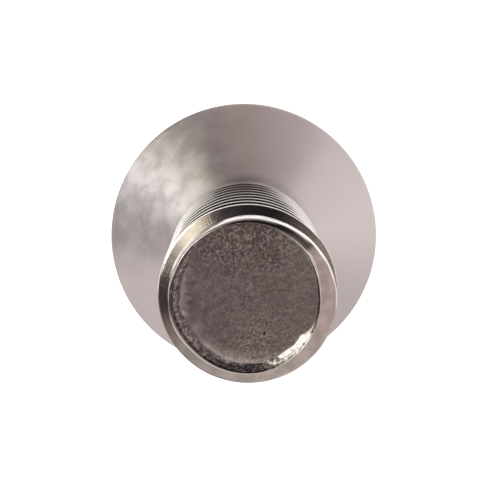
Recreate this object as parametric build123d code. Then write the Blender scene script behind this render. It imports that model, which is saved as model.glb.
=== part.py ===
from build123d import *
import math
import os

# A countersunk screw with a hexagon socket, turned and cold-formed from one piece of steel.
# It stands on the flat face of its head, with its axis along Z and its point up.
# Lengths are in millimetres and angles in degrees.

# Thread and shank
thread_diameter = 10.0
thread_pitch = 1.5
overall_length = 25.0
run_out_turns = 1.0

# Head
head_diameter = 19.7
seat_angle = 90.0
land_height = 0.65
head_edge_radius = 0.2
land_edge_radius = 0.15
under_head_radius = 0.5

# Hexagon socket
key_size = 6.0
key_clearance = 0.05
socket_depth = 4.4
socket_floor_angle = 120.0
socket_corner_radius = 0.15
socket_lead_in = 0.15
lead_in_angle = 90.0

# Point
point_chamfer_depth = 0.85
point_chamfer_length = 1.5
point_rim_width = 0.1
dish_depth = 0.6
dish_wall_run = 0.55
dish_floor_radius = 0.3

# A rolled thread starts from a blank of about its pitch diameter.
blank_reduction_per_pitch = 0.6495


def height_of_cone(radius_change, included_angle):
    """How far a cone runs along its axis while its radius changes by radius_change."""
    return radius_change / math.tan(math.radians(included_angle / 2))


def body_outline():
    """The radii and heights of one side of the screw, from the head's face up to the point."""
    head_radius = head_diameter / 2
    thread_radius = thread_diameter / 2
    neck_radius = thread_radius - blank_reduction_per_pitch * thread_pitch / 2
    point_radius = thread_radius - point_chamfer_depth
    dish_mouth_radius = point_radius - point_rim_width
    dish_floor_edge = dish_mouth_radius - dish_wall_run

    seat_top = land_height + height_of_cone(head_radius - thread_radius, seat_angle)
    neck_start = land_height + height_of_cone(head_radius - neck_radius, seat_angle)
    thread_start = seat_top + run_out_turns * thread_pitch
    neck_end = thread_start - (thread_radius - neck_radius)
    chamfer_start = overall_length - point_chamfer_length
    dish_floor = overall_length - dish_depth

    corners = [
        (0, 0, 0),
        (head_radius, 0, head_edge_radius),
        (head_radius, land_height, land_edge_radius),
        (neck_radius, neck_start, under_head_radius),
        (neck_radius, neck_end, 0),
        (thread_radius, thread_start, 0),
        (thread_radius, chamfer_start, 0),
        (point_radius, overall_length, 0),
        (dish_mouth_radius, overall_length, 0),
        (dish_floor_edge, dish_floor, dish_floor_radius),
        (0, dish_floor, 0),
    ]
    points = [(radius, height) for radius, height, rounding in corners]
    roundings = [rounding for radius, height, rounding in corners]
    return points, roundings


def turned_body():
    """The head, seat, neck, shank and dished point, as one turned profile."""
    points, roundings = body_outline()
    with BuildPart() as body:
        with BuildSketch(Plane.XZ):
            with BuildLine():
                FilletPolyline(*points, radius=roundings[1:-1])
                Line(points[-1], points[0])
            make_face()
        revolve(axis=Axis.Z)
    return body.part


def socket_cutter():
    """The hexagon key's hole: flats, a conical floor and a conical lead-in at the mouth."""
    across_flats = key_size + key_clearance
    corner_radius = across_flats / math.sqrt(3)
    floor_height = height_of_cone(corner_radius, socket_floor_angle)
    mouth_radius = corner_radius + socket_lead_in
    lead_in_apex = height_of_cone(mouth_radius, lead_in_angle)

    with BuildPart() as hexagon:
        with BuildSketch(Plane.XY) as flats:
            RegularPolygon(across_flats / 2, 6, major_radius=False)
            fillet(flats.vertices(), socket_corner_radius)
        extrude(amount=socket_depth + floor_height)

    with BuildPart() as round_limit:
        with BuildSketch(Plane.XZ):
            with BuildLine():
                Polyline(
                    (0, 0),
                    (corner_radius, 0),
                    (corner_radius, socket_depth),
                    (0, socket_depth + floor_height),
                    close=True,
                )
            make_face()
        revolve(axis=Axis.Z)

    with BuildPart() as lead_in:
        with BuildSketch(Plane.XZ):
            with BuildLine():
                Polyline((0, 0), (mouth_radius, 0), (0, lead_in_apex), close=True)
            make_face()
        revolve(axis=Axis.Z)

    return (hexagon.part & round_limit.part) + lead_in.part


def countersunk_screw():
    """The whole screw: the turned body with the key's socket cut into its head."""
    return turned_body() - socket_cutter()


os.makedirs("parts", exist_ok=True)
export_step(countersunk_screw(), "parts/countersunk_screw.step")
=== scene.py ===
import math
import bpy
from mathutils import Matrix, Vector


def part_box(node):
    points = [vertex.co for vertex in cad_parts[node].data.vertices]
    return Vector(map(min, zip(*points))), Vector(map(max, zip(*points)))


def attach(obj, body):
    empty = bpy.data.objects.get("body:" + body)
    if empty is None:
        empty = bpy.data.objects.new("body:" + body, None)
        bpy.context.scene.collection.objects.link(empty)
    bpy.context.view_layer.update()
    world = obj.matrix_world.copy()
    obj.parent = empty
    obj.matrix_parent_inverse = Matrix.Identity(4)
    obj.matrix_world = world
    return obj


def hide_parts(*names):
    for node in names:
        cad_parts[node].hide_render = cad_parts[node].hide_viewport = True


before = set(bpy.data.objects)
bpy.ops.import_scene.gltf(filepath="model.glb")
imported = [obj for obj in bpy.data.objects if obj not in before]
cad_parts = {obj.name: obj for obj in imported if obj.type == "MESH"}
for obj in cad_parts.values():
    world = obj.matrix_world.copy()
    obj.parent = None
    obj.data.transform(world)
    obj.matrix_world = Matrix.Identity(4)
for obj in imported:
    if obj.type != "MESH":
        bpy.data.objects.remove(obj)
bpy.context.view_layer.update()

from types import SimpleNamespace

import bmesh
import bpy
import numpy as np
from mathutils import Vector, noise

# A countersunk socket screw that stands on its head, seen from above its dished point.
# Sizes are in millimetres until a mesh is written, and mm turns them into metres.
# Clock hours name directions round the axis: twelve is +Y, three is +X, as the camera sees them.

mm = 0.001
screwNode = "countersunk_screw"
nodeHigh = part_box(screwNode)[1]
headRadius = nodeHigh.x / mm
fullLength = nodeHigh.z / mm

cameraView = {
    "lens": 87.89,                        # for a 36 mm sensor
    "sensor": 36.0,
    "place": (0.0, 12.515, 88.269),
    "turn": (-8.444, -0.516, -3.566),     # degrees
}


def makeCamera():
    data = bpy.data.cameras.new("camera")
    data.lens = cameraView["lens"]
    data.sensor_width = cameraView["sensor"]
    data.clip_start = 1 * mm
    camera = bpy.data.objects.new("camera", data)
    camera.location = Vector(cameraView["place"]) * mm
    camera.rotation_euler = [math.radians(angle) for angle in cameraView["turn"]]
    bpy.context.scene.collection.objects.link(camera)
    bpy.context.scene.camera = camera


makeCamera()
print("camera placed")


class Shade:
    # One socket of a node tree, so that shading reads as arithmetic.
    def __init__(self, tree, socket=None):
        self.tree = tree
        self.socket = socket

    def add(self, kind, settings=None, values=None, out=0):
        node = self.tree.nodes.new(kind)
        for name, value in (settings or {}).items():
            if name == "stops":
                fillRamp(node.color_ramp, value)
            else:
                setattr(node, name, value)
        for name, value in (values or {}).items():
            if isinstance(value, Shade):
                self.tree.links.new(value.socket, node.inputs[name])
            else:
                node.inputs[name].default_value = value
        return Shade(self.tree, node.outputs[out]) if node.outputs else None

    def combine(self, operation, *values):
        return self.add("ShaderNodeMath", {"operation": operation}, dict(enumerate(values)))

    def maths(self, operation, *others):
        return self.combine(operation, self, *others)

    def __add__(self, other):
        return self.combine("ADD", self, other)

    def __radd__(self, other):
        return self.combine("ADD", other, self)

    def __sub__(self, other):
        return self.combine("SUBTRACT", self, other)

    def __rsub__(self, other):
        return self.combine("SUBTRACT", other, self)

    def __mul__(self, other):
        return self.combine("MULTIPLY", self, other)

    def __rmul__(self, other):
        return self.combine("MULTIPLY", other, self)

    def __truediv__(self, other):
        return self.combine("DIVIDE", self, other)

    def __rtruediv__(self, other):
        return self.combine("DIVIDE", other, self)

    def step(self, low, high):            # 0 below low, 1 above high, smooth between
        settings = {"interpolation_type": "SMOOTHSTEP"}
        values = {"Value": self, "From Min": low, "From Max": high}
        return self.add("ShaderNodeMapRange", settings, values)

    def mix(self, first, second):         # colours, by this value from 0 to 1
        values = {0: self, 6: first, 7: second}
        return self.add("ShaderNodeMix", {"data_type": "RGBA"}, values, 2)

    def parts(self):                      # of a vector
        return [self.add("ShaderNodeSeparateXYZ", {}, {0: self}, out) for out in range(3)]

    def vector(self, *parts):
        return self.add("ShaderNodeCombineXYZ", {}, dict(enumerate(parts)))


def opaque(colour):
    return (*colour, 1.0)


def fillRamp(ramp, stops):
    ramp.interpolation = "EASE"
    while len(ramp.elements) < len(stops):
        ramp.elements.new(0.5)
    for element, (position, colour) in zip(ramp.elements, stops):
        element.position = position
        element.color = opaque(colour)


# The point is drawn with depths below the tip plane. Turns run clockwise from six o'clock, where
# the crest line leaves the rim, and go on counting along the thread.
thread = {
    "pitch": 1.5,
    "crestRadius": 5.03,
    "flankAngle": 30.0,
    "crestRounding": 0.05,
    "glareRounding": 0.35,                # that full glare adds to it
    "firstCrestDepth": 0.1,               # where the crest line leaves the rim
    "firstGrooveDepths": (0.9, 1.5),      # over which the groove sinks to its full depth
    "runOutTurns": 3.0,
    "neckRadius": 4.513,
    "neckTop": 6.55,                      # height of the thread's last trace
    "rowsPerTurn": 20,
    "rowCrowding": 0.45,                  # draws rows together at the crests
    "columns": 240,                       # a multiple of 12, for the hexagon's corners and flats
    "waver": 0.006,                       # unevenness left by the rolling dies
    "waverSize": 0.5,
    "waverFade": (0.1, 0.3),              # below the rim and above the neck
    "swell": [(1.2, 0.0), (2.4, 0.09), (3.3, 0.09), (4.4, 0.0)],      # of the second turn's crest
    "swellTurns": ((1.4, 1.6), (1.9, 2.1)),                           # where it comes and goes
}

# The first turn's crest climbs the chamfer in stages: its lowest radius, and for each stage the
# rise and the turns over which it comes.
firstCrest = {
    "start": 4.1,
    "startTurns": (-0.05, 0.1),
    "stages": [(0.29, 0.08, 0.30), (0.11, 0.42, 0.52), (0.50, 0.54, 0.82)],
    "filled": (0.8, 1.0),                 # turns over which it becomes a full crest
    "slope": 0.12,                        # of the unfilled crest
    "wander": 0.008,                      # of the unfilled crest's edge
    "wanderSize": 0.9,
    "wanderRadius": 4.5,                  # where it is taken from
    "wanderTurns": ((0.1, 0.3), (0.8, 1.0)),
    "crown": 0.012,                       # of the full crest, over its flat
    "crownReach": 1.5,                    # towards the head, in halves of the flat's width
}

# How the thread's plating is toned. Paler crests are partly a painted highlight, the glare is a
# painted highlight, and the grooves, the crest below the point and the turns towards the neck get
# painted shade. Stops give strengths by clock hour. Stages give a strength and the turns or depths
# over which it comes. An edge is how far, in millimetres, the thread's full profile stands out over
# the crest while a tone comes. A pair of ranges says where a tone comes and where it goes.
threadTones = {
    "crestEdge": (-0.02, 0.02),
    # Painted shade in the grooves, from about one and a half turns on.
    "grooveShadeStages": [(0.75, 1.45, 1.55), (-0.45, 1.62, 1.69), (0.7, 1.8, 2.0)],
    # Painted shade: a dark crescent in the first groove.
    "firstGrooveShade": 0.9,
    "firstGrooveTurns": ((0.44, 0.48), (0.645, 0.66)),
    "firstGrooveEdge": (0.0, 0.04),
    # Painted shade: a dark line where the thread leaves the rim.
    "rimGrooveTurns": ((0.27, 0.31), (0.44, 0.48)),
    "rimGrooveDepths": ((0.03, 0.05), (0.2, 0.26)),
    # Painted shade: a duller stretch of the first crest.
    "dullCrestShade": 0.78,
    "dullCrestTurns": ((0.18, 0.24), (0.40, 0.48)),
    # Painted shade: the crest's colour is darkened below the point.
    "outlineShade": [(3.6, 0.0), (4.1, 0.75), (9.0, 0.75), (9.3, 0.0)],    # darker crest, below the point
    "outlineEdge": (-0.07, -0.01),
    "outlineTurns": (0.95, 1.05),
    # The glare here and the deep glare below are painted highlights: pale colour laid over the outer
    # turns.
    "glare": [
        (0.9, 0.0), (1.8, 1.0), (3.2, 1.0), (3.8, 0.0),
        (8.9, 0.0), (9.3, 1.0), (10.1, 1.0), (10.6, 0.0),
    ],
    "glareTurns": (2.0, 3.2),
    "deepGlare": [
        (12, 0.0), (0.5, 0.0), (1.2, 1.0), (3.2, 1.0), (3.8, 0.0),
        (8.9, 0.0), (9.3, 1.0), (10.9, 1.0), (11.5, 0.0),
    ],
    "deepGlareTurns": (4.5, 7.5),
    "glareEdge": (-0.4, -0.2),
    "worn": [
        (12, 0.3), (1.6, 0.3), (2.0, 0.1), (8.5, 0.12), (9.1, 0.4),
        (9.6, 0.2), (10.0, 0.08), (10.8, 0.12), (11.3, 0.3),
    ],
    "wornFlank": (0.4, 1.55, 1.65),       # added where the glare is, as a stage
    "wornGlare": 0.6,                     # added by the glare of both kinds
    "neckShade": [(12, 1.0), (0.8, 0.6), (1.4, 0.15), (10.6, 0.15), (11.2, 0.6)],
    "neckStages": [(0.35, 1.0, 5.0), (0.55, 5.0, 12.0)],
    "neckRoundStages": [(0.1, 2.0, 7.0)],         # the same on every side
}

# Radii and runs that change round the point are given by clock hour.
rim = {
    "radii": [
        (12, 4.21), (1.5, 4.11), (3, 3.93), (4.5, 3.98),
        (6, 4.04), (7.5, 4.01), (9, 4.17), (10.5, 4.25),
    ],
    "lips": [
        (12, 0.032), (1.8, 0.03), (2.2, 0.012), (3.4, 0.012), (4.2, 0.04),
        (6.5, 0.09), (7.5, 0.14), (8.4, 0.19), (9.3, 0.12), (9.9, 0.04),
    ],
    "lipFall": 0.6,                       # of the lip's outer edge, as a share of its width
    "lipShares": (0.35, 0.7, 1.0),        # where its rings lie
    "blendDepth": 0.2,                    # over which the thread grows out of the lip
    "burrHeight": 0.03,
    "burrSize": 0.22,
    "burrLips": (0.01, 0.04),             # lip widths over which the burr comes
    # Painted highlight on the rim's lip, in the crests' paler colour.
    "shine": [                            # of the crests' colour
        (12, 0.35), (5, 0.5), (7.5, 0.8), (8.3, 0.8), (8.8, 0.2),
        (9.4, 0.1), (9.8, 1.0), (10.9, 1.0), (11.3, 0.5),
    ],
    # Painted shade: a dark stretch of the lip, in the grooves' colour.
    "dull": [(8.6, 0.0), (9.0, 0.4), (9.5, 0.4), (9.9, 0.0)],         # of the grooves' colour
}

dish = {
    "depth": 0.5,
    "tilt": 0.01,                         # extra depth for each millimetre towards deepClock
    "deepClock": 7.5,
    "edgeRadius": 4.0,                    # where the edge's unevenness is taken from
    "wallRuns": [
        (12, 0.04), (3, 0.08), (3.9, 0.1), (4.35, 0.44), (6, 0.5), (7.5, 0.57),
        (8.4, 0.62), (9, 0.48), (9.5, 0.55), (10, 0.5), (10.9, 0.06),
    ],
    "wideWall": (0.1, 0.4),               # runs between a plain, steep wall and an uneven one
    "wallRagged": 0.12,
    "wallRaggedSize": 0.8,
    "wallPowers": [(12, 2.0), (4.5, 1.25), (6, 1.6), (7.5, 2.8), (9, 4.5)],
    "lifts": [(12, 0.0), (3, 0.0), (5, 0.03), (6.5, 0.13), (8, 0.13), (9, 0.04)],    # of the floor's edge
    "liftShares": (0.8, 1.06),
    "kerbs": [(12, 0.0), (5, 0.0), (5.6, 0.025), (7, 0.025), (8, 0.0), (9.1, 0.01), (10, 0.0)],
    "kerbShares": (0.955, 1.0),           # the kerb is the floor's outermost edge
    "floorRings": 50,
    "wallRings": 14,
    "peelSize": 0.22,
    "peelHeight": 0.007,
    "peelRange": (-1.5, 2.0),             # from the smooth lower side to the rough upper one
    "peelLean": 0.4,
    "peelLeast": 0.35,
    "grainSize": 0.12,
    "grainHeight": 0.003,
    "crumpleSize": 0.2,
    "crumpleHeight": 0.04,
    # Painted reflection: a bright glare laid in colour on the dish's wall.
    "gleam": [                            # bright part of the wall
        (12, 0.0), (3.2, 0.0), (3.5, 0.4), (3.9, 0.7), (4.1, 1.1),
        (4.7, 1.1), (5.3, 0.55), (6, 0.15), (9, 0),
    ],
    # Painted highlight along the floor's edge.
    "ledge": [                            # pale edge of the floor
        (12, 0.0), (5.4, 0.0), (6.1, 0.8), (7.4, 0.65), (8.1, 0.3), (8.4, 0.1),
        (8.7, 1.1), (9.2, 1.9), (9.7, 1.3), (10.4, 0.0),
    ],
    "wallShares": (0.0, 0.2),             # over which the floor's tone goes over into the wall's
    "crumpleShares": (0.0, 0.3),
    "calmShares": (0.8, 1.0),             # over which grain and crumple end at the rim
    "ledgeSoft": (0.9, 0.98),             # shares of the floor, as the next one
    "ledgeCrisp": (0.955, 0.99),
    "ledgeOnWall": (0.01, 0.15),          # shares of the wall, over which it ends
    "unevenHours": ((8.3, 8.8), (9.8, 10.3)),     # where the ledge is torn
    "unevenSize": 0.3,
    "uneven": 0.12,
    "unevenShift": 0.04,
    # Painted shade: a dark line below the rim, in the grooves' colour.
    "seam": [(12, 0.0), (2.8, 0.0), (3.2, 1.0), (9.3, 1.0), (9.9, 0.0)],      # dark line below the rim
    "seamShares": (0.8, 0.9),             # of the wall, moved by jagged
    "seamEnd": (0.99, 1.0),               # at the rim
    "jaggedSize": 0.2,
    "jagged": (0.8, 0.55),                # on a plain wall, and how much less on an uneven one
    "dotSize": 0.13,
    "dotEdge": (-0.15, 0.1),
    "dotHours": (4.2, 4.8),               # the seam is dotted before these
}

head = {
    "land": 0.65,
    "faceEdge": 0.2,
    "faceEdgeRows": 4,
    "landEdge": 0.15,
    "landEdgeShares": (0.33, 0.67, 1.0),
    "underRadius": 0.5,
    "underRows": 5,
    "coneRows": 36,
    "faceShares": (0.35, 0.7, 1.0),
    "haze": [(12.4, 0.1), (3, 0.05), (8.4, 0.1), (9.2, 0.7), (10, 1.0), (10.8, 0.7), (11.6, 0.5)],
    "neckShade": [(12, 0.75), (12.9, 0.25), (2.5, 0.08), (9.0, 0.08), (11.1, 0.25)],
    "neckShares": (0.02, 0.12),           # of the cone, over which the neck's shade ends
}

socket = {
    "acrossFlats": 6.05,
    "depth": 4.4,
    "leadIn": 0.15,
    "leadInShares": (0.5, 1.0),
    "cornerTrim": 0.02,
    "floorAngle": 120.0,
    "wallRows": 6,
    "floorRows": 6,
}
socketCorner = socket["acrossFlats"] / math.sqrt(3)
socketMouth = socketCorner + socket["leadIn"]


def clockDirection(hour):
    angle = math.radians(90 - 30 * hour)
    return math.cos(angle), math.sin(angle)


def smooth(low, high, value):
    share = np.clip((value - low) / (high - low), 0.0, 1.0)
    return share * share * (3 - 2 * share)


def between(value, rise, fall):
    # Comes over the range rise and goes over the range fall.
    return smooth(*rise, value) * (1 - smooth(*fall, value))


def staged(stages, value):
    # The sum of strengths that each come over a range of their own.
    return sum(strength * smooth(low, high, value) for strength, low, high in stages)


def roundedMin(first, second, rounding):
    overlap = np.maximum(rounding - np.abs(first - second), 0.0)
    return np.minimum(first, second) - overlap * overlap / (4 * rounding)


def relief(points, size, height, seed):
    # Height of a soft random relief at each point.
    places = (points.reshape(-1, 3) / size + seed).tolist()
    values = [noise.noise(place) for place in places]
    return height * np.array(values).reshape(points.shape[:-1])


turns = np.arange(thread["columns"]) / thread["columns"]
angles = math.radians(-90) - 2 * math.pi * turns
cosines, sines = np.cos(angles), np.sin(angles)
hours = (6 + 12 * turns) % 12


def byHour(stops):
    # One value for each column, eased from stop to stop round the clock.
    stops = sorted((hour % 12, value) for hour, value in stops)
    stops = [(stops[-1][0] - 12, stops[-1][1])] + stops + [(stops[0][0] + 12, stops[0][1])]
    result = np.zeros_like(turns)
    for (hour, value), (nextHour, nextValue) in zip(stops, stops[1:]):
        inside = (hours >= hour) & (hours < nextHour)
        eased = value + (nextValue - value) * smooth(hour, nextHour, hours)
        result = np.where(inside, eased, result)
    return result


def around(radius, depth):
    # Points of one ring, from radii and depths below the tip plane.
    radius, depth = np.broadcast_arrays(radius * np.ones_like(turns), depth * np.ones_like(turns))
    return np.stack([radius * cosines, radius * sines, fullLength - depth], -1)


def pushOut(points, distance):
    points[:, 0] += distance * cosines
    points[:, 1] += distance * sines


rimLine, rimLip = byHour(rim["radii"]), byHour(rim["lips"])
rimEdge = rimLine + rimLip
dishEdge = around(dish["edgeRadius"], 0.0)


def crestRadiusAt(turn):
    radius = rimEdge + (firstCrest["start"] - rimEdge) * smooth(*firstCrest["startTurns"], turn)
    radius = radius + staged(firstCrest["stages"], turn)
    ring = around(firstCrest["wanderRadius"], turn)
    wander = relief(ring, firstCrest["wanderSize"], firstCrest["wander"], seed=61.0)
    return radius + wander * between(turn, *firstCrest["wanderTurns"])


def threadForm(depth):
    # The radius of each column at its depth, and the masks there.
    pitch, crest = thread["pitch"], thread["crestRadius"]
    flankAngle = math.radians(thread["flankAngle"])
    sharpHeight = pitch * math.sqrt(3) / 2
    halfFlat = pitch / 16
    fullRoot = crest - sharpHeight * 17 / 24
    firstRoot = np.minimum(fullRoot, rimEdge)             # the first groove runs out into the rim
    root = firstRoot + (fullRoot - firstRoot) * smooth(*thread["firstGrooveDepths"], depth)
    rootRounding = root - (crest - sharpHeight * 7 / 8)

    fromStart = (depth - thread["firstCrestDepth"]) / pitch - turns
    nearest = np.round(fromStart)
    turn = turns + nearest                                # of the nearest crest
    along = (fromStart - nearest) * pitch                 # from the crest line, towards the head
    fromGroove = pitch / 2 - np.abs(along)
    flank = crest - (np.abs(along) - halfFlat) / math.tan(flankAngle)
    groove = root + rootRounding - np.sqrt(np.maximum(rootRounding ** 2 - fromGroove ** 2, 0.0))
    profile = np.where(fromGroove < rootRounding * math.cos(flankAngle), groove, flank)

    unfilled = 1 - smooth(*firstCrest["filled"], turn)
    overFlat = np.minimum(along / halfFlat, firstCrest["crownReach"])
    crown = firstCrest["crown"] * overFlat ** 2 * (1 - unfilled)
    land = crestRadiusAt(turn) + firstCrest["slope"] * unfilled * along - crown
    land = land + byHour(thread["swell"]) * between(turn, *thread["swellTurns"])

    # Where the glare's painted highlight lies; it also rounds the crests.
    nearGlare = byHour(threadTones["glare"]) * smooth(*threadTones["glareTurns"], turn)
    deepGlare = byHour(threadTones["deepGlare"]) * smooth(*threadTones["deepGlareTurns"], turn)
    glare = np.maximum(nearGlare, deepGlare)
    rounding = thread["crestRounding"] + thread["glareRounding"] * glare
    cut = roundedMin(profile, np.maximum(land, root), rounding)
    fadeEnd = fullLength - thread["neckTop"]
    fade = smooth(fadeEnd - thread["runOutTurns"] * pitch, fadeEnd, depth)
    masks = threadMasks(depth, turn, along, profile - land, fade, nearGlare, glare)
    return cut + (thread["neckRadius"] - cut) * fade, masks


def threadMasks(depth, turn, along, standOut, fade, nearGlare, glare):
    # standOut is how far the full profile lies outside the crest.
    tones = threadTones
    # The crest mask carries the crests' paler colour, partly worn plating and partly a painted highlight.
    crest = smooth(*tones["crestEdge"], standOut) * (1 - fade)
    outlineShade = smooth(*tones["outlineEdge"], standOut) * byHour(tones["outlineShade"])
    firstGrooveShade = tones["firstGrooveShade"] * between(turn, *tones["firstGrooveTurns"]) * (along < 0)
    rimGrooveShade = between(turn, *tones["rimGrooveTurns"]) * between(depth, *tones["rimGrooveDepths"])
    # Painted shade: the grooves, the first groove's dark crescent, a dark line at the rim and a dull
    # stretch of crest.
    shadeParts = [
        (1 - crest) * staged(tones["grooveShadeStages"], turn) * (1 - glare),
        outlineShade * smooth(*tones["outlineTurns"], turn),
        firstGrooveShade * smooth(*tones["firstGrooveEdge"], -standOut),
        rimGrooveShade,
        tones["dullCrestShade"] * between(turn, *tones["dullCrestTurns"]) * crest,
    ]
    worn = byHour(tones["worn"]) * (1 - crest * (1 - nearGlare))
    worn = worn + byHour(tones["glare"]) * staged([tones["wornFlank"]], turn) * (1 - crest)
    worn = worn + tones["wornGlare"] * glare
    # Painted shade that darkens the thread towards the neck, most at twelve o'clock.
    neck = staged(tones["neckStages"], depth) * byHour(tones["neckShade"])
    return {
        "crest": crest,
        "flank": 1 - crest,
        "groove": np.maximum.reduce(shadeParts),
        "worn": worn,
        "glare": glare * smooth(*tones["glareEdge"], standOut) * (turns < 0.5),
        "neck": neck + staged(tones["neckRoundStages"], depth),
    }


def floorDepth(x, y):
    dx, dy = clockDirection(dish["deepClock"])
    return dish["depth"] + dish["tilt"] * (x * dx + y * dy)


class Skin:
    # The rings of the screw's one closed skin, with a few masks for each ring.
    def __init__(self):
        self.rings = []
        self.masks = []
        self.links = []
        self.helix = None                 # first and last row of the thread, and rows for each turn

    def ring(self, points, **masks):
        self.rings.append(points)
        self.masks.append(masks)
        return len(self.rings) - 1

    def follow(self, previous, points, **masks):
        current = self.ring(points, **masks)
        if previous is not None:
            self.links.append((previous, current))
        return current


maskNames = [
    "dish", "wall", "gleam", "ledge", "seam", "cone", "haze",
    "crest", "flank", "groove", "neck", "worn", "glare",
]


def dishGrain(points, strength):
    # Orange peel on the upper side of the dish, smoother towards seven o'clock.
    upwards = points[:, 1] + dish["peelLean"] * points[:, 0]
    peel = dish["peelLeast"] + (1 - dish["peelLeast"]) * smooth(*dish["peelRange"], upwards)
    points[:, 2] += relief(points, dish["peelSize"], dish["peelHeight"], seed=3.0) * peel * strength
    points[:, 2] += relief(points, dish["grainSize"], dish["grainHeight"], seed=9.0) * strength


def buildDishFloor(skin, floorEdge):
    lift, kerb, ledge = byHour(dish["lifts"]), byHour(dish["kerbs"]), byHour(dish["ledge"])
    uneven = relief(dishEdge, dish["unevenSize"], dish["uneven"], seed=44.0) - dish["unevenShift"]
    uneven = uneven * between(hours, *dish["unevenHours"])
    softLow, softHigh = dish["ledgeSoft"]

    def depthAt(share):
        radius = floorEdge * share
        rise = lift * smooth(*dish["liftShares"], share) + kerb * smooth(*dish["kerbShares"], share)
        return floorDepth(radius * cosines, radius * sines) - rise

    previous = None
    for share in np.linspace(0, 1, dish["floorRings"] + 1)[1:]:
        points = around(floorEdge * share, depthAt(share))
        dishGrain(points, 1.0)
        soft = smooth(softLow + uneven, softHigh + uneven, share)
        # A painted highlight along the floor's edge.
        pale = ledge * (0.5 * soft + 0.5 * smooth(*dish["ledgeCrisp"], share))
        previous = skin.follow(previous, points, dish=1.0, ledge=pale)
    return previous, depthAt(1.0)


def buildDishWall(skin, previous, floorEdge, edgeDepth, run):
    wide = smooth(*dish["wideWall"], run)
    powers, gleam, ledge = byHour(dish["wallPowers"]), byHour(dish["gleam"]), byHour(dish["ledge"])
    dots = smooth(*dish["dotEdge"], relief(dishEdge, dish["dotSize"], 1.0, seed=71.0))
    # The dark line below the rim is painted shade.
    seam = byHour(dish["seam"]) * (1 - (1 - dots) * (1 - smooth(*dish["dotHours"], hours)))
    plainJags, fewerJags = dish["jagged"]
    jagged = relief(dishEdge, dish["jaggedSize"], 1.0, seed=33.0) * (plainJags - fewerJags * wide)
    seamLow, seamHigh = dish["seamShares"]
    for share in np.linspace(0, 1, dish["wallRings"] + 1)[1:]:
        points = around(floorEdge + run * share, edgeDepth * (1 - share ** powers))
        inside = 1 - smooth(*dish["calmShares"], share)
        wall = smooth(*dish["wallShares"], share)
        dishGrain(points, inside)
        crumple = relief(points, dish["crumpleSize"], dish["crumpleHeight"], seed=30.0)
        points[:, 2] += crumple * inside * smooth(*dish["crumpleShares"], share) * wide
        dark = between(share, (seamLow + jagged, seamHigh + jagged), dish["seamEnd"])
        pale = ledge * (1 - smooth(*dish["ledgeOnWall"], share))
        masks = {"dish": 1 - wall, "wall": wall, "gleam": gleam, "seam": seam * dark, "ledge": pale}
        previous = skin.follow(previous, points, **masks)
    return previous


def buildDish(skin):
    run = byHour(dish["wallRuns"])
    ragged = relief(dishEdge, dish["wallRaggedSize"], dish["wallRagged"], seed=15.0)
    run = run + ragged * smooth(*dish["wideWall"], run)
    floorEdge = rimLine - run
    previous, edgeDepth = buildDishFloor(skin, floorEdge)
    return buildDishWall(skin, previous, floorEdge, edgeDepth, run)


def buildRim(skin, previous):
    for share in rim["lipShares"]:
        points = around(rimLine + rimLip * share, rimLip * rim["lipFall"] * share ** 2)
        burr = relief(points, rim["burrSize"], rim["burrHeight"], seed=21.0) * (1 - share)
        points[:, 2] += np.abs(burr * smooth(*rim["burrLips"], rimLip))
        # The lip takes a painted highlight in the crests' colour and painted shade in the grooves'
        # colour.
        previous = skin.follow(previous, points, crest=byHour(rim["shine"]), groove=byHour(rim["dull"]))
    return previous


def buildThread(skin, previous):
    # Rows run parallel to the crest line, and crowd at the crests. A turn of rows lies above the
    # first crest, so that the thread meets the rim on every side.
    pitch, rows = thread["pitch"], thread["rowsPerTurn"]
    top = rimLip * rim["lipFall"]
    bottom = fullLength - thread["neckTop"]
    belowRim, aboveNeck = thread["waverFade"]
    count = math.ceil((bottom - thread["firstCrestDepth"]) / pitch * rows) + rows + 1
    first = len(skin.rings)
    for row in range(count):
        turn = (row - rows) / rows
        turn -= thread["rowCrowding"] * math.sin(2 * math.pi * turn) / (2 * math.pi)
        depth = np.clip(thread["firstCrestDepth"] + pitch * (turn + turns), top, bottom)
        radius, masks = threadForm(depth)
        radius = rimEdge + (radius - rimEdge) * smooth(top, top + rim["blendDepth"], depth)
        points = around(radius, depth)
        inside = between(depth, (top, top + belowRim), (bottom - aboveNeck, bottom))
        pushOut(points, relief(points, thread["waverSize"], thread["waver"], seed=40.0) * inside)
        skin.ring(points, **masks)
    skin.links.append((previous, first))
    skin.helix = (first, first + count - 1, rows)
    return first + count - 1


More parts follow.
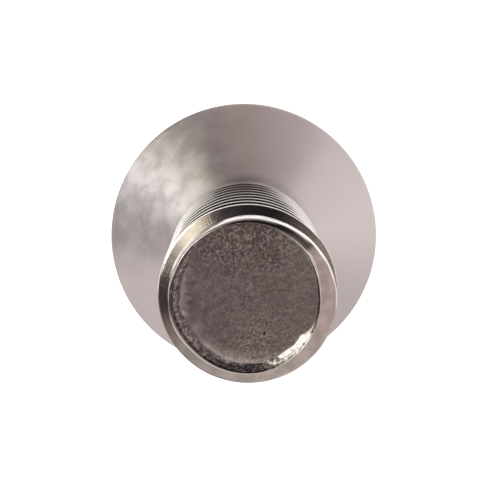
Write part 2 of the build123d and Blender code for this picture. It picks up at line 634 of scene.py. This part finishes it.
def headPath():
    # Radius, height, and cone and neck masks, from the neck down to the socket's mouth. The neck
    # mask is painted shade on the cone beside the neck.
    neck, land, under = thread["neckRadius"], head["land"], head["underRadius"]
    coneTop = land + headRadius - neck
    filletRun = under * math.tan(math.radians(22.5))
    landEdge, faceEdge = head["landEdge"], head["faceEdge"]
    edgeRun = landEdge * math.tan(math.radians(22.5))
    path = []
    for share in np.linspace(0, 1, head["underRows"] + 1):         # from the neck round to the cone
        turn = math.radians(45) * share
        radius = neck + under * (1 - math.cos(turn))
        path.append((radius, coneTop + filletRun - under * math.sin(turn), share, 1.0))
    startRadius, startHeight = path[-1][:2]
    run = headRadius - edgeRun * math.sqrt(0.5) - startRadius
    for share in np.linspace(0, 1, head["coneRows"] + 1)[1:]:
        neckShadeTone = 1 - smooth(*head["neckShares"], share)
        path.append((startRadius + run * share, startHeight - run * share, 1.0, neckShadeTone))
    for share in head["landEdgeShares"]:                           # cone to land
        turn = math.radians(45) * (1 - share)
        radius = headRadius - landEdge * (1 - math.cos(turn))
        path.append((radius, land - edgeRun + landEdge * math.sin(turn), 1.0 - share, 0.0))
    for share in np.linspace(0, 1, head["faceEdgeRows"] + 1):      # land to face
        turn = math.radians(90) * share
        radius = headRadius - faceEdge * (1 - math.cos(turn))
        path.append((radius, faceEdge * (1 - math.sin(turn)), 0.0, 0.0))
    for share in head["faceShares"]:                               # face to the socket's mouth
        radius = headRadius - faceEdge + (socketMouth - headRadius + faceEdge) * share
        path.append((radius, 0.0, 0.0, 0.0))
    return path


def buildHead(skin, previous):
    haze, shade = byHour(head["haze"]), byHour(head["neckShade"])
    for radius, height, cone, neck in headPath():
        points = around(radius, fullLength - height)
        # The neck mask is painted shade on the cone beside the neck, most at twelve o'clock.
        previous = skin.follow(previous, points, cone=cone, haze=haze * cone, neck=neck * shade)
    return previous


def buildSocket(skin, previous):
    fromFlat = np.abs((np.degrees(angles) - 90 + 30) % 60 - 30)            # degrees
    flats = socket["acrossFlats"] / 2 / np.cos(np.radians(fromFlat))
    hexagon = np.minimum(flats, socketCorner - socket["cornerTrim"])
    leadEnd = socketMouth - hexagon
    slope = math.tan(math.radians(socket["floorAngle"] / 2))
    floorStart = socket["depth"] + (socketCorner - hexagon) / slope
    for share in socket["leadInShares"]:
        radius = socketMouth + (hexagon - socketMouth) * share
        previous = skin.follow(previous, around(radius, fullLength - leadEnd * share))
    for share in np.linspace(0, 1, socket["wallRows"] + 1)[1:]:
        height = leadEnd + (floorStart - leadEnd) * share
        previous = skin.follow(previous, around(hexagon, fullLength - height))
    for share in np.linspace(1, 0, socket["floorRows"] + 1)[1:-1]:
        height = socket["depth"] + (socketCorner - hexagon * share) / slope
        previous = skin.follow(previous, around(hexagon * share, fullLength - height))
    return socket["depth"] + socketCorner / slope


def ringFaces(first, second):
    count = thread["columns"]
    near = np.arange(count)
    far = (near + 1) % count
    base, other = first * count, second * count
    return np.stack([base + near, base + far, other + far, other + near], -1)


def helixFaces(first, last, rows):
    # A row that comes round the seam meets the row one pitch further down.
    count = thread["columns"]
    faces = []
    near = np.arange(count)
    far = (near + 1) % count
    for row in range(first, last):
        rowOver = np.full(count, row)
        nextOver = np.full(count, row + 1)
        rowOver[-1] = min(row + rows, last)
        nextOver[-1] = min(row + 1 + rows, last)
        faces.append(np.stack([row * count + near, rowOver * count + far,
                               nextOver * count + far, (row + 1) * count + near], -1))
    faces = [list(dict.fromkeys(face)) for face in np.concatenate(faces).tolist()]
    # One more face closes the start of the seam, above the first crest.
    faces.append([first * count + count - 1] + [row * count for row in range(first, first + rows + 1)])
    return faces


def writeMasks(mesh, skin):
    ones = np.ones(thread["columns"])
    for name in maskNames:
        values = [ones * masks.get(name, 0.0) for masks in skin.masks]
        values.append(np.array([1.0 if name == "dish" else 0.0, 0.0]))         # of the two centres
        attribute = mesh.attributes.new(name, "FLOAT", "POINT")
        attribute.data.foreach_set("value", np.concatenate(values).astype(np.float32))


def makeScrew():
    skin = Skin()
    previous = buildDish(skin)
    previous = buildRim(skin, previous)
    previous = buildThread(skin, previous)
    previous = buildHead(skin, previous)
    socketTop = buildSocket(skin, previous)
    count = thread["columns"]
    points = np.concatenate(skin.rings)
    centres = np.array([[0, 0, fullLength - floorDepth(0, 0)], [0, 0, socketTop]])
    dishCentre, socketCentre = len(points), len(points) + 1
    faces = np.concatenate([ringFaces(first, second) for first, second in skin.links]).tolist()
    faces += helixFaces(*skin.helix)
    lastRing = (len(skin.rings) - 1) * count
    for column in range(count):
        following = (column + 1) % count
        faces.append([dishCentre, following, column])
        faces.append([socketCentre, lastRing + column, lastRing + following])
    mesh = bpy.data.meshes.new("screw")
    mesh.from_pydata((np.concatenate([points, centres]) * mm).tolist(), [], faces)
    writeMasks(mesh, skin)
    closeMesh(mesh)
    screw = bpy.data.objects.new("threaded_screw", mesh)
    bpy.context.scene.collection.objects.link(screw)
    print("screw skin:", len(mesh.vertices), "points,", len(mesh.polygons), "faces")
    return screw


closing = {
    "mergeDistance": 0.0004,
    "leastEdge": 0.0003,
    "threadEdgeAngle": 75,                # degrees from which an edge is sharp
    "edgeAngle": 38,
}


def closeMesh(mesh):
    work = bmesh.new()
    work.from_mesh(mesh)
    bmesh.ops.remove_doubles(work, verts=work.verts, dist=closing["mergeDistance"] * mm)
    bmesh.ops.dissolve_degenerate(work, edges=work.edges, dist=closing["leastEdge"] * mm)
    bmesh.ops.recalc_face_normals(work, faces=work.faces)
    for edge in work.edges:
        threaded = min(end.co.z for end in edge.verts) > thread["neckTop"] * mm
        sharpAngle = closing["threadEdgeAngle"] if threaded else closing["edgeAngle"]
        edge.smooth = edge.calc_face_angle(0.0) < math.radians(sharpAngle)
    work.to_mesh(mesh)
    work.free()
    mesh.shade_smooth()


# The screw's plating. A grade is the range of a noise over which one colour goes over into the next.
steel = {
    "colour": (0.66, 0.62, 0.61),
    "tints": [(0.56, 0.52, 0.5), (0.74, 0.67, 0.66)],          # of the plating, in patches
    "tintGrade": (0.35, 0.65),
    "hazeColours": [(0.5, 0.47, 0.48), (0.8, 0.78, 0.78)],     # cloudy patches on the head's cone
    "hazeGrade": (0.3, 0.7),
    "hazeClouds": 0.8,                    # share of the clouds in it, the rest being blotches
    "haze": 0.8,
    # Paler crests: partly worn plating, partly a painted highlight.
    "crestWearAndHighlightColour": (0.92, 0.9, 0.89),
    # Painted shade, for the grooves and the dark line below the rim.
    "grooveShadeColour": (0.07, 0.065, 0.058),
    "wornColour": (0.28, 0.26, 0.25),
    "wornGrade": (0.35, 0.65),
    # Painted highlight for the glare, broken by dark specks.
    "glareColour": (1.0, 0.99, 0.97),
    "glareSpecks": 0.8,
    "glareGrade": (0.5, 0.62),
    # Painted shade round the neck.
    "neckShadeColour": (0.12, 0.1, 0.1),
    "neck": 0.85,
    "threadRoughness": 0.13,
    "coneRoughness": 0.27,
    "dishRoughness": 0.26,
    "neckRoughness": 0.4,                 # added, as the next three are
    "glareRoughness": 0.15,
    "hazeRoughness": 0.15,                # by the clouds
    "streakRoughness": 0.1,
    "bumpHeight": 0.03,                   # of a bump of 1
    "peelBump": 0.5,
    "grainBump": 0.03,
    "strokeBump": 0.6,
    "streakBump": 0.12,
    "wornBump": 0.7,
}

# The plating's noises: size in millimetres, detail and roughness. Streaks cross the flanks, fine
# round the axis and long along the radius, and strokes are short scratches that rise to the right.
steelNoises = {
    "clouds": (1.5, 2.5, 0.5),
    "patches": (0.9, 2.0, 0.5),
    "blotches": (0.4, 3.0, 0.5),
    "peel": (0.14, 1.0, 0.4),
    "strokes": (0.1, 1.0, 0.4),
    "fine": (0.08, 1.0, 0.4),
    "streaks": (0.07, 2.0, 0.5),
    "grain": (0.06, 2.0, 0.5),
}
noiseStretch = {                          # the smaller, the longer
    "peelUp": 0.75,
    "strokesAlong": 0.3,
    "streaksOut": 0.25,
    "streaksUp": 0.1,
}

# The dish's plating. A zone is given by the millimetres over which it comes, and a lean says how
# much the other direction counts in it.
dishPlating = {
    "colours": [(0.26, 0.2, 0.205), (0.78, 0.7, 0.69)],
    "peel": (1.7, 1.6, 0.1),              # its strength in the upper zone, in the smudges and everywhere
    "fine": (0.9, -0.35, 0.45),           # the same in the upper zone, the calm one and everywhere
    "blotches": 0.55,
    "grade": (0.15, 0.85),
    "upperDarker": 0.08,
    "upperZone": (0.7, 3.6),
    "upperLean": 0.1,
    "upperLeast": 0.1,
    "smudgeColour": (0.78, 0.73, 0.71),
    "smudges": (0.3, 0.4, 0.4),           # round the scratches, on the right and on the left
    "smudgeReach": (0.5, 3.0),
    "rightSmudge": (1.0, 3.2),
    "leftSmudge": (1.8, 3.0),
    "leftSmudgeTop": (-3.0, -1.0),
    "calmZone": (0.5, 2.5),
    "calmLean": 0.6,
    "oliveColour": (0.5, 0.45, 0.34),
    "olive": 0.6,
    "oliveZone": (1.0, 3.5),
    "oliveGrade": (0.5, 0.7),
    "plumColour": (0.38, 0.28, 0.3),
    "plums": (0.5, 0.4),                  # on the left and on the right
    "leftPlum": (1.8, 4.0),
    "leftPlumLean": 0.3,
    "rightPlum": (3.3, 4.0),
    "plumOnWall": 0.6,
    # The wall is darker than the floor: its own speckled tone, with painted shade.
    "wallToneAndShadeColours": [(0.25, 0.21, 0.22), (0.45, 0.415, 0.42)],
    "wallPeel": 0.7,                      # share of the peel in the wall, the rest being blotches
    "wallGrade": (0.45, 0.72),
    "gleamColour": (0.92, 0.91, 0.89),
    "gleamGain": 1.5,
    "gleamGrain": 3,
    "gleamFrom": 0.25,
    "gleamGrade": (0.3, 0.6),
    "ledgeHighlightColour": (0.95, 0.92, 0.91),
    "ledgeGrade": (0.35, 0.6),
    "ledgeStrength": (0.55, 0.4),         # everywhere, and more in blotches
    "scratchColours": [(0.12, 0.1, 0.1), (0.85, 0.82, 0.8)],
    "darkScratches": (0.36, 0.44),        # grades of the strokes
    "paleScratches": (0.57, 0.65),
    "paleScratch": 0.9,
    "scratchPatches": (0.38, 0.55),       # grade of the blotches
    "scratchCentre": (0.5, -2.2),
    "scratchReach": (0.4, 2.6),
    "scratchesOnWall": (0.7, 0.5),        # on its plain part, and how much less in the gleam
}


def makeNoises(start, place):
    x, y, z = place.parts()
    radius = (x * x + y * y + 1e-12).maths("SQRT")
    ring = thread["crestRadius"] * mm
    outAndUp = radius * noiseStretch["streaksOut"] + z * noiseStretch["streaksUp"]
    spaces = {
        "peel": start.vector(x, y * noiseStretch["peelUp"], z),
        "strokes": start.vector((x + y) * noiseStretch["strokesAlong"], y - x, z),
        "streaks": start.vector(x / radius * ring, y / radius * ring, outAndUp),
    }
    noises = {}
    for name, (size, detail, roughness) in steelNoises.items():
        values = {"Scale": 1 / (size * mm), "Detail": detail, "Roughness": roughness}
        values["Vector"] = spaces.get(name, place)
        noises[name] = start.add("ShaderNodeTexNoise", {}, values)
    return SimpleNamespace(**noises)


def makeDishZones(place, masks, noises):
    # Parts of the dish that differ, each from 0 to 1.
    look = dishPlating
    x, y = place.parts()[:2]

    def zone(value, name):
        low, high = look[name]
        return value.step(low * mm, high * mm)

    centreX, centreY = look["scratchCentre"]
    asideX, asideY = x - centreX * mm, y - centreY * mm
    fromScratches = (asideX * asideX + asideY * asideY).maths("SQRT")
    plainWall, lessInGleam = look["scratchesOnWall"]
    patchy = noises.blotches.step(*look["scratchPatches"])
    scratched = (1 - zone(fromScratches, "scratchReach")) * masks.dish * patchy
    scratched = scratched + masks.wall * (plainWall - lessInGleam * masks.gleam)
    middle, right, left = look["smudges"]
    smudge = (1 - zone(fromScratches, "smudgeReach")) * middle + zone(x, "rightSmudge") * right
    smudge = smudge + zone(0 - x, "leftSmudge") * zone(y + x, "leftSmudgeTop") * left
    leftPlum, rightPlum = look["plums"]
    least = look["upperLeast"]
    return SimpleNamespace(
        upper=zone(y + x * look["upperLean"], "upperZone") * (1 - least) + least,
        calm=zone(0 - x - y * look["calmLean"], "calmZone"),
        olive=noises.patches.step(*look["oliveGrade"]) * zone(y + x, "oliveZone") * look["olive"],
        plum=zone(look["leftPlumLean"] * y - x, "leftPlum") * leftPlum + zone(x, "rightPlum") * rightPlum,
        scratched=scratched,
        smudge=smudge,
    )


def dishFloorColour(noises, zones):
    look = dishPlating
    upperPeel, smudgePeel, everyPeel = look["peel"]
    upperFine, calmFine, everyFine = look["fine"]
    peel = (noises.peel - 0.5) * (zones.upper * upperPeel + zones.smudge * smudgePeel + everyPeel)
    fine = (noises.fine - 0.5) * (zones.upper * upperFine + everyFine + zones.calm * calmFine)
    grade = peel + fine + (noises.blotches - 0.5) * look["blotches"] + 0.5
    grade = (grade - zones.upper * look["upperDarker"]).step(*look["grade"])
    colour = grade.mix(*map(opaque, look["colours"]))
    colour = zones.smudge.mix(colour, opaque(look["smudgeColour"]))
    colour = zones.olive.mix(colour, opaque(look["oliveColour"]))
    return zones.plum.mix(colour, opaque(look["plumColour"]))


def dishWallShadeAndGleamColour(masks, noises, zones):
    look = dishPlating
    peel = look["wallPeel"]
    grade = (noises.peel * peel + noises.blotches * (1 - peel)).step(*look["wallGrade"])
    colour = grade.mix(*map(opaque, look["wallToneAndShadeColours"]))
    colour = (zones.plum * look["plumOnWall"]).mix(colour, opaque(look["plumColour"]))
    # The gleam is a painted reflection.
    gleam = masks.gleam * look["gleamGain"] + (noises.fine - 0.5) * look["gleamGrain"]
    gleam = (gleam - look["gleamFrom"]).step(*look["gleamGrade"])
    return gleam.mix(colour, opaque(look["gleamColour"]))


def steelColour(masks, noises, zones):
    # The flanks, the head's cone and the dish first, then the tones that lie over them, among them
    # painted highlights and painted shade.
    look = dishPlating
    tint = noises.patches.step(*steel["tintGrade"]).mix(*map(opaque, steel["tints"]))
    worn = noises.fine.step(*steel["wornGrade"]) * masks.worn
    tint = worn.mix(tint, opaque(steel["wornColour"]))
    colour = masks.flank.mix(opaque(steel["colour"]), tint)
    clouds = steel["hazeClouds"]
    haze = (noises.clouds * clouds + noises.blotches * (1 - clouds)).step(*steel["hazeGrade"])
    hazeTone = haze.mix(*map(opaque, steel["hazeColours"]))
    colour = (masks.haze * steel["haze"]).mix(colour, hazeTone)
    colour = masks.dish.mix(colour, dishFloorColour(noises, zones))
    colour = masks.wall.mix(colour, dishWallShadeAndGleamColour(masks, noises, zones))
    # The painted highlight along the floor's edge.
    everywhere, blotchy = look["ledgeStrength"]
    ledge = masks.ledge * (noises.blotches.step(*look["ledgeGrade"]) * blotchy + everywhere)
    colour = ledge.mix(colour, opaque(look["ledgeHighlightColour"]))
    darkScratch, paleScratch = map(opaque, look["scratchColours"])
    dark = (1 - noises.strokes.step(*look["darkScratches"])) * zones.scratched
    pale = noises.strokes.step(*look["paleScratches"]) * zones.scratched * look["paleScratch"]
    colour = pale.mix(dark.mix(colour, darkScratch), paleScratch)
    # The glare's painted highlight, broken by specks.
    glare = masks.glare * (1 - noises.fine.step(*steel["glareGrade"]) * steel["glareSpecks"])
    # Painted highlights on the crests and in the glare; painted shade in the grooves, round the neck and
    # along the seam.
    overlays = [
        (masks.crest, "crestWearAndHighlightColour"),
        (masks.groove, "grooveShadeColour"),
        (glare, "glareColour"),
        (masks.neck * steel["neck"], "neckShadeColour"),
        (masks.seam, "grooveShadeColour"),
    ]
    for mask, name in overlays:
        colour = mask.mix(colour, opaque(steel[name]))
    return colour


def steelRoughness(masks, noises):
    plain = steel["threadRoughness"]
    rough = plain + (steel["coneRoughness"] - plain) * masks.cone
    rough = rough + (steel["dishRoughness"] - plain) * (masks.dish + masks.wall)
    rough = rough + (noises.clouds - 0.5) * masks.haze * steel["hazeRoughness"]
    rough = rough + (noises.streaks - 0.5) * masks.flank * steel["streakRoughness"]
    return rough + masks.neck * steel["neckRoughness"] + masks.glare * steel["glareRoughness"]


def steelBump(masks, noises, zones):
    height = noises.peel * steel["peelBump"] * (zones.upper + zones.smudge) * (masks.dish + masks.wall)
    height = height + noises.grain * steel["grainBump"]
    height = height + noises.strokes * steel["strokeBump"] * zones.scratched
    height = height + noises.streaks * steel["streakBump"] * masks.flank
    return height + noises.fine * steel["wornBump"] * masks.worn


def makeSteel():
    material = bpy.data.materials.new("plated_steel")
    material.use_nodes = True
    tree = material.node_tree
    tree.nodes.clear()
    start = Shade(tree)
    place = start.add("ShaderNodeTexCoord", out=3)
    masks = SimpleNamespace()
    for name in maskNames:
        setattr(masks, name, start.add("ShaderNodeAttribute", {"attribute_name": name}, out=2))
    noises = makeNoises(start, place)
    zones = makeDishZones(place, masks, noises)
    height = steelBump(masks, noises, zones)
    bump = {"Strength": 1.0, "Distance": steel["bumpHeight"] * mm, "Height": height}
    values = {
        "Base Color": steelColour(masks, noises, zones),
        "Metallic": 1.0,
        "Roughness": steelRoughness(masks, noises),
        "Normal": start.add("ShaderNodeBump", {}, bump),
    }
    surface = start.add("ShaderNodeBsdfPrincipled", {}, values)
    start.add("ShaderNodeOutputMaterial", {}, {"Surface": surface})
    print("plating made")
    return material


# What stands round the screw and shows in its plating. upper is the band that the thread's
# flanks mirror, about 30 degrees above the horizon, horizon is what the head's cone mirrors, and
# floor is what steep walls mirror. All three are given by clock hour.
surroundings = {
    "overhead": (0.11, 0.09, 0.086),
    "overheadEdge": (0.5, 0.44, 0.42),
    "overheadLean": (0.12, -0.38),        # of its darkest spot, from the zenith
    "overheadSpread": 0.8,
    "overheadFrom": (50, 62),             # degrees above the horizon, as the next two
    "upperFrom": (0, 12),
    "horizonFrom": (-38, -18),
    "window": (3.4, 3.3, 3.15),
    "windowHours": (9.3, 9.7, 10.5, 11.0),
    "windowHeights": (6, 12, 24, 28),     # degrees above the horizon
    "upper": [
        (0.0, (0.062, 0.05, 0.058)),
        (1.15, (0.06, 0.05, 0.054)),
        (1.35, (0.13, 0.12, 0.12)),
        (1.6, (0.17, 0.155, 0.15)),
        (1.7, (0.5, 0.42, 0.4)),
        (2.0, (0.58, 0.48, 0.45)),
        (4.0, (0.6, 0.5, 0.47)),
        (6.0, (0.6, 0.54, 0.49)),
        (7.4, (0.49, 0.45, 0.415)),
        (8.1, (0.27, 0.22, 0.2)),
        (8.6, (0.075, 0.058, 0.058)),
        (9.1, (0.075, 0.06, 0.06)),
        (9.55, (0.2, 0.18, 0.15)),
        (9.8, (0.4, 0.36, 0.3)),
        (10.1, (0.75, 0.7, 0.58)),
        (10.45, (1.25, 1.18, 0.96)),
        (10.95, (1.5, 1.4, 1.12)),
        (11.2, (0.5, 0.45, 0.4)),
        (11.4, (0.07, 0.058, 0.062)),
        (12.0, (0.062, 0.05, 0.058)),
    ],
    "horizon": [
        (0.0, (0.62, 0.51, 0.48)),
        (1.0, (0.76, 0.68, 0.68)),
        (2.0, (0.97, 0.9, 0.9)),
        (3.0, (1.02, 0.95, 0.95)),
        (4.5, (0.72, 0.66, 0.66)),
        (7.5, (0.8, 0.73, 0.73)),
        (8.2, (0.84, 0.77, 0.77)),
        (9.0, (0.54, 0.49, 0.49)),
        (9.3, (0.64, 0.61, 0.61)),
        (9.6, (0.62, 0.59, 0.59)),
        (9.9, (0.9, 0.87, 0.85)),
        (10.2, (0.78, 0.75, 0.73)),
        (10.5, (0.32, 0.29, 0.29)),
        (10.9, (0.17, 0.155, 0.155)),
        (11.2, (0.28, 0.25, 0.25)),
        (11.5, (0.43, 0.37, 0.37)),
        (12.0, (0.62, 0.51, 0.48)),
    ],
    "floor": [
        (0.0, (1.1, 1.06, 1.06)),
        (3.0, (1.2, 1.17, 1.15)),
        (3.6, (0.9, 0.86, 0.85)),
        (4.1, (0.4, 0.37, 0.37)),
        (5.0, (0.26, 0.24, 0.24)),
        (6.0, (0.36, 0.33, 0.33)),
        (7.3, (0.6, 0.56, 0.55)),
        (8.4, (0.9, 0.85, 0.84)),
        (9.5, (1.7, 1.66, 1.6)),
        (10.5, (1.8, 1.76, 1.68)),
        (12.0, (1.1, 1.06, 1.06)),
    ],
}


def makeSurroundings():
    world = bpy.data.worlds.new("studio")
    world.use_nodes = True
    bpy.context.scene.world = world
    tree = world.node_tree
    tree.nodes.clear()
    start = Shade(tree)
    direction = start.add("ShaderNodeTexCoord", out=0)
    x, y, z = direction.parts()
    clock = (x.maths("ARCTAN2", y) / (2 * math.pi) + 1.0).maths("FRACT")
    height = z.maths("ARCSINE") * (180 / math.pi)

    def band(stops):
        ramp = [(hour / 12, colour) for hour, colour in stops]
        return start.add("ShaderNodeValToRGB", {"stops": ramp}, {"Fac": clock})

    floor, horizon, upper = (band(surroundings[name]) for name in ("floor", "horizon", "upper"))
    colour = height.step(*surroundings["horizonFrom"]).mix(floor, horizon)
    colour = height.step(*surroundings["upperFrom"]).mix(colour, upper)
    low, sill, top, high = surroundings["windowHeights"]
    begin, left, right, end = (hour / 12 for hour in surroundings["windowHours"])
    glow = height.step(low, sill) * (1 - height.step(top, high))
    glow = glow * clock.step(begin, left) * (1 - clock.step(right, end))
    colour = glow.mix(colour, opaque(surroundings["window"]))
    leanX, leanY = surroundings["overheadLean"]
    aside = (x - leanX) * (x - leanX) + (y - leanY) * (y - leanY)
    middle, edge = (opaque(surroundings[name]) for name in ("overhead", "overheadEdge"))
    overhead = aside.maths("SQRT").step(0.0, surroundings["overheadSpread"]).mix(middle, edge)
    colour = height.step(*surroundings["overheadFrom"]).mix(colour, overhead)
    shine = start.add("ShaderNodeBackground", {}, {"Color": colour, "Strength": 1.0})
    start.add("ShaderNodeOutputWorld", {}, {"Surface": shine})
    print("surroundings made")


stage = {
    "radius": 800.0,
    "floorSides": 64,
    "domeSides": 48,
    "floorColour": (0.85, 0.85, 0.85),
    "domeColour": (0.0, 0.0, 0.0),
    "glowColour": (1.0, 1.0, 1.0),
    "glow": 1.0,
}


def paleMaterial(name, colour):
    material = bpy.data.materials.new(name)
    material.use_nodes = True
    surface = material.node_tree.nodes["Principled BSDF"]
    surface.inputs["Base Color"].default_value = opaque(colour)
    surface.inputs["Roughness"].default_value = 1.0
    surface.inputs["Specular IOR Level"].default_value = 0.0
    surface.inputs["Emission Color"].default_value = opaque(stage["glowColour"])
    surface.inputs["Emission Strength"].default_value = stage["glow"]
    return material


def stagePiece(name, work, colour):
    mesh = bpy.data.meshes.new(name)
    work.to_mesh(mesh)
    work.free()
    mesh.materials.append(paleMaterial("pale_" + name, colour))
    piece = bpy.data.objects.new(name, mesh)
    bpy.context.scene.collection.objects.link(piece)
    piece.visible_glossy = False
    return piece


def makeStage():
    # A pale floor and a pale dome over it, which the camera sees and the plating doesn't mirror.
    radius, sides = stage["radius"] * mm, stage["domeSides"]
    work = bmesh.new()
    bmesh.ops.create_circle(work, cap_ends=True, segments=stage["floorSides"], radius=radius)
    stagePiece("floor", work, stage["floorColour"])
    work = bmesh.new()
    bmesh.ops.create_uvsphere(work, u_segments=sides, v_segments=sides // 2, radius=radius)
    dome = stagePiece("dome", work, stage["domeColour"])
    dome.visible_diffuse = False
    dome.visible_shadow = False
    print("stage made")


makeSurroundings()
makeStage()
screw = makeScrew()
screw.data.materials.append(makeSteel())
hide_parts(screwNode)
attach(screw, "root")
bpy.context.scene.view_settings.view_transform = "Standard"
print("screw finished")
